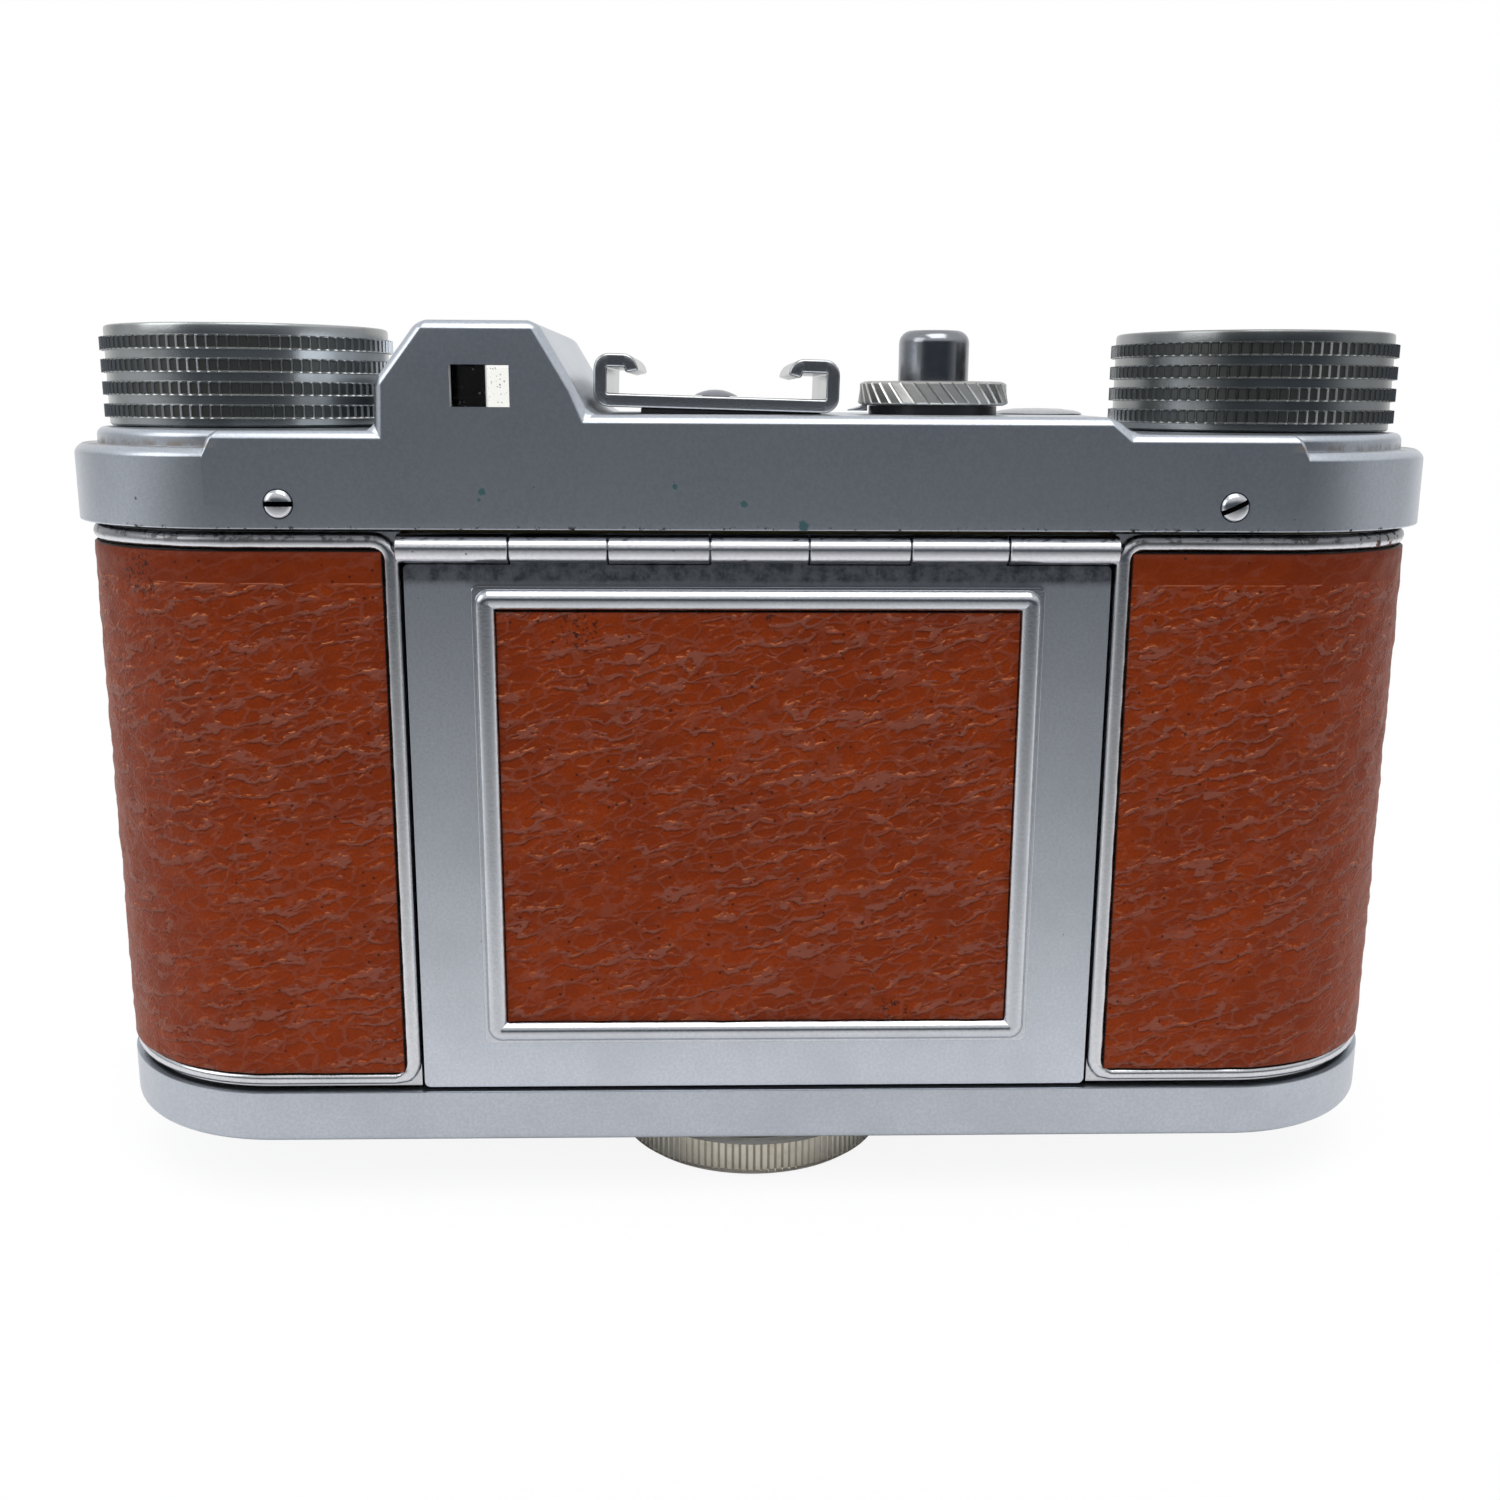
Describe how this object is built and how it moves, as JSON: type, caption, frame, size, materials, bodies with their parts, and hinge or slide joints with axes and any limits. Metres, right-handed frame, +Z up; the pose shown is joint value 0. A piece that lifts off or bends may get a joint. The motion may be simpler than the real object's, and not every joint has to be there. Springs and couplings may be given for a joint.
{
  "type": "viewfinder camera",
  "caption": "Compact 35 mm viewfinder camera with hinged rear flap, lift-off base held by a knurled lock knob, ribbed film knobs, finder hump, accessory shoe and leaf-shutter lens.",
  "frame": {"origin": "middle of the part's box in plan, on the surface that the lock knob stands on", "axes": "+X to the right seen from behind, +Y towards the lens, +Z up"},
  "size_m": [0.122, 0.0636, 0.0779],
  "materials": {
    "satin_chrome": "satin",
    "satin_alloy": "satin",
    "bright_chrome": "polished",
    "knurled_nickel": "knurled",
    "lock_nickel": "knurled nickel plate",
    "leather": "creased, glossed by hands",
    "black_alloy": "black paint",
    "brass": "turned",
    "spring_steel": "plain",
    "glass": "coated"
  },
  "bodies": {
    "body": {"body_shell": "satin_alloy", "chassis": "black_alloy", "mechanism_plate": "brass", "left_leather": "leather", "right_leather": "leather", "top_cover": "satin_chrome", "cover_screw_left": "bright_chrome", "cover_screw_right": "bright_chrome", "finder_tube": "black_alloy", "eyepiece_glass": "glass", "finder_window": "glass", "hinge_leaf": "satin_chrome", "hinge_pin": "spring_steel", "lock_bush": "brass", "rewind_bush": "brass", "wind_bush": "brass", "release_spring": "spring_steel", "counter_base": "black_alloy", "counter_pointer": "bright_chrome", "accessory_shoe": "satin_chrome", "shoe_screw": "bright_chrome", "lens_panel": "satin_alloy", "shutter_case": "black_alloy", "rear_cell": "black_alloy", "rear_lens": "glass", "shutter_blades": "spring_steel", "iris_blades": "spring_steel"},
    "flap": {"back_flap": "satin_chrome", "flap_bezel": "satin_chrome", "flap_leather": "leather", "pressure_plate": "black_alloy", "pressure_spring": "spring_steel"},
    "base": {"base_plate": "satin_chrome"},
    "lock": {"lock_knob": "lock_nickel", "lock_washer": "spring_steel"},
    "rewind": {"rewind_knob": "knurled_nickel", "rewind_knob_screw": "bright_chrome", "rewind_shaft": "spring_steel"},
    "wind": {"wind_knob": "knurled_nickel", "wind_knob_screw": "bright_chrome", "wind_shaft": "spring_steel", "wind_gear": "brass", "takeup_spool": "black_alloy"},
    "sprocket": {"film_sprocket": "spring_steel", "sprocket_gear": "brass"},
    "release": {"release_button": "bright_chrome"},
    "unlock": {"rewind_release": "bright_chrome"},
    "counter": {"counter_ring": "knurled_nickel"},
    "cocking": {"cocking_lever": "bright_chrome"},
    "speed": {"speed_ring": "knurled_nickel"},
    "aperture": {"aperture_ring": "satin_alloy"},
    "focus": {"focus_ring": "knurled_nickel"},
    "lens": {"lens_barrel": "satin_alloy", "front_lens": "glass", "lens_retainer": "black_alloy"}
  },
  "joints": [
    {"name": "flap_open", "type": "hinge", "parent": "body", "child": "flap", "pos_m": [0, -0.0299, 0.05958], "axis": [-1, 0, 0], "range_deg": [0, 110]},
    {"name": "base_off", "type": "slide", "parent": "body", "child": "base", "axis": [0, 0, -1], "range_m": [0, 0.03]},
    {"name": "lock_turn", "type": "hinge", "parent": "base", "child": "lock", "pos_m": [0, -0.01365, 0.004], "axis": [0, 0, 1], "continuous": true},
    {"name": "rewind_turn", "type": "hinge", "parent": "body", "child": "rewind", "pos_m": [-0.04582, -0.01365, 0.073], "axis": [0, 0, 1], "continuous": true},
    {"name": "wind_turn", "type": "hinge", "parent": "body", "child": "wind", "pos_m": [0.04582, -0.01365, 0.073], "axis": [0, 0, 1], "continuous": true},
    {"name": "sprocket_turn", "type": "hinge", "parent": "body", "child": "sprocket", "pos_m": [0.0274, -0.0196, 0.0358], "axis": [0, 0, 1], "continuous": true},
    {"name": "release_press", "type": "slide", "parent": "body", "child": "release", "axis": [0, 0, -1], "range_m": [0, 0.0025], "stiffness_N_per_m": 300, "springref_m": -0.002, "deforming": ["release_spring"]},
    {"name": "unlock_press", "type": "slide", "parent": "body", "child": "unlock", "axis": [0, 0, -1], "range_m": [0, 0.0008], "stiffness_N_per_m": 400, "springref_m": -0.001},
    {"name": "counter_turn", "type": "hinge", "parent": "body", "child": "counter", "pos_m": [0.0164, -0.01365, 0.0724], "axis": [0, 0, 1], "continuous": true},
    {"name": "cocking_swing", "type": "hinge", "parent": "body", "child": "cocking", "pos_m": [0, 0.01175, 0.0358], "axis": [0, 1, 0], "range_deg": [0, 35]},
    {"name": "speed_turn", "type": "hinge", "parent": "body", "child": "speed", "pos_m": [0, 0.01475, 0.0358], "axis": [0, 1, 0], "range_deg": [0, 150]},
    {"name": "aperture_turn", "type": "hinge", "parent": "body", "child": "aperture", "pos_m": [0, 0.01805, 0.0358], "axis": [0, 1, 0], "range_deg": [0, 75]},
    {"name": "focus_turn", "type": "hinge", "parent": "body", "child": "focus", "pos_m": [0, 0.02175, 0.0358], "axis": [0, 1, 0], "range_deg": [0, 200]},
    {"name": "lens_extend", "type": "slide", "parent": "body", "child": "lens", "axis": [0, 1, 0], "range_m": [0, 0.0027]}
  ],
  "couplings": [
    {"joint": "sprocket_turn", "follows": "wind_turn", "ratio": -1.5},
    {"joint": "lens_extend", "follows": "focus_turn", "m_per_rad": 0.00074}
  ]
}
